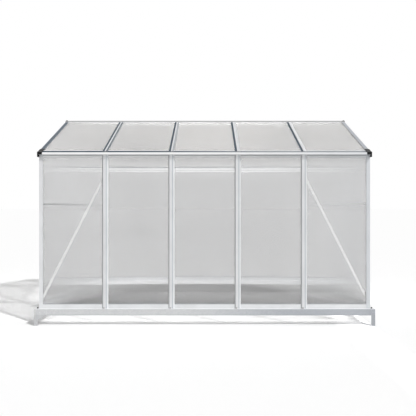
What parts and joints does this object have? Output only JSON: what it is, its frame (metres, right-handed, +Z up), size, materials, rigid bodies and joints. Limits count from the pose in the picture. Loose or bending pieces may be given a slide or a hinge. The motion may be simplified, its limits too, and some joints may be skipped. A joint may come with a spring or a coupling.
{
  "type": "greenhouse",
  "caption": "Gable-roofed greenhouse of aluminium glazing bars and twin-wall sheets on a steel foundation frame, with eave gutters, hinged roof vents and a sliding door.",
  "frame": {"origin": "on the ground under the middle of the house", "axes": "+X along the ridge to the door gable, +Y to the rear wall with the roof vents, +Z up"},
  "size_m": [3.174, 1.9898, 2.0741],
  "materials": {
    "aluminium": "mill-finish extrusion",
    "galvanised_steel": "hot-dip galvanised, folded",
    "polycarbonate": "translucent twin-wall sheet",
    "black_plastic": "moulded, satin",
    "nylon": "turned"
  },
  "bodies": {
    "frame": {"corner_stakes": "galvanised_steel", "door_guide": "aluminium", "door_header": "aluminium", "door_jambs": "aluminium", "door_track": "aluminium", "eave_caps": "black_plastic", "foundation_front_rail": "galvanised_steel", "foundation_left_rail": "galvanised_steel", "foundation_rear_rail": "galvanised_steel", "foundation_right_rail": "galvanised_steel", "front_gutter": "aluminium", "front_left_corner_post": "aluminium", "front_left_gable_rafter": "aluminium", "front_right_corner_post": "aluminium", "front_right_gable_rafter": "aluminium", "front_roof_bars": "aluminium", "front_roof_sheets": "polycarbonate", "front_sill": "aluminium", "front_stud_1": "aluminium", "front_stud_2": "aluminium", "front_stud_3": "aluminium", "front_stud_4": "aluminium", "front_wall_sheets": "polycarbonate", "gable_mid_rails": "aluminium", "hold_down_knobs": "black_plastic", "left_gable_sheets": "polycarbonate", "left_gable_studs": "aluminium", "left_sill": "aluminium", "rear_gutter": "aluminium", "rear_left_corner_post": "aluminium", "rear_left_gable_rafter": "aluminium", "rear_right_corner_post": "aluminium", "rear_right_gable_rafter": "aluminium", "rear_roof_bars": "aluminium", "rear_roof_sheets": "polycarbonate", "rear_sill": "aluminium", "rear_stud_1": "aluminium", "rear_stud_2": "aluminium", "rear_stud_3": "aluminium", "rear_stud_4": "aluminium", "rear_wall_sheets": "polycarbonate", "ridge_beam": "aluminium", "ridge_caps": "black_plastic", "right_gable_sheets": "polycarbonate", "right_sill": "aluminium", "vent_sills": "aluminium", "wall_braces": "aluminium"},
    "door": {"door_frame": "aluminium", "door_sheets": "polycarbonate", "door_handle": "black_plastic", "door_hangers": "aluminium"},
    "front_roller": {"front_door_roller": "nylon"},
    "rear_roller": {"rear_door_roller": "nylon"},
    "left_vent": {"left_vent_frame": "aluminium", "left_vent_sheet": "polycarbonate"},
    "left_stay": {"left_vent_stay": "aluminium"},
    "right_vent": {"right_vent_frame": "aluminium", "right_vent_sheet": "polycarbonate"},
    "right_stay": {"right_vent_stay": "aluminium"}
  },
  "joints": [
    {"name": "door_slide", "type": "slide", "parent": "frame", "child": "door", "axis": [0, 1, 0], "range_m": [0, 0.575]},
    {"name": "front_roller_spin", "type": "hinge", "parent": "door", "child": "front_roller", "pos_m": [1.5652, -0.24, 1.7302], "axis": [1, 0, 0], "continuous": true},
    {"name": "rear_roller_spin", "type": "hinge", "parent": "door", "child": "rear_roller", "pos_m": [1.5652, 0.24, 1.7302], "axis": [1, 0, 0], "continuous": true},
    {"name": "left_vent_hinge", "type": "hinge", "parent": "frame", "child": "left_vent", "pos_m": [-0.62, 0.03415, 2.0582], "axis": [1, 0, 0], "range_deg": [0, 45]},
    {"name": "left_stay_pivot", "type": "hinge", "parent": "left_vent", "child": "left_stay", "pos_m": [-0.62, 0.48595, 1.83203], "axis": [1, 0, 0], "range_deg": [0, 135]},
    {"name": "right_vent_hinge", "type": "hinge", "parent": "frame", "child": "right_vent", "pos_m": [0.62, 0.03415, 2.0582], "axis": [1, 0, 0], "range_deg": [0, 45]},
    {"name": "right_stay_pivot", "type": "hinge", "parent": "right_vent", "child": "right_stay", "pos_m": [0.62, 0.48595, 1.83203], "axis": [1, 0, 0], "range_deg": [0, 135]}
  ],
  "couplings": [
    {"joint": "front_roller_spin", "follows": "door_slide", "rad_per_m": -100},
    {"joint": "rear_roller_spin", "follows": "door_slide", "rad_per_m": -100}
  ]
}
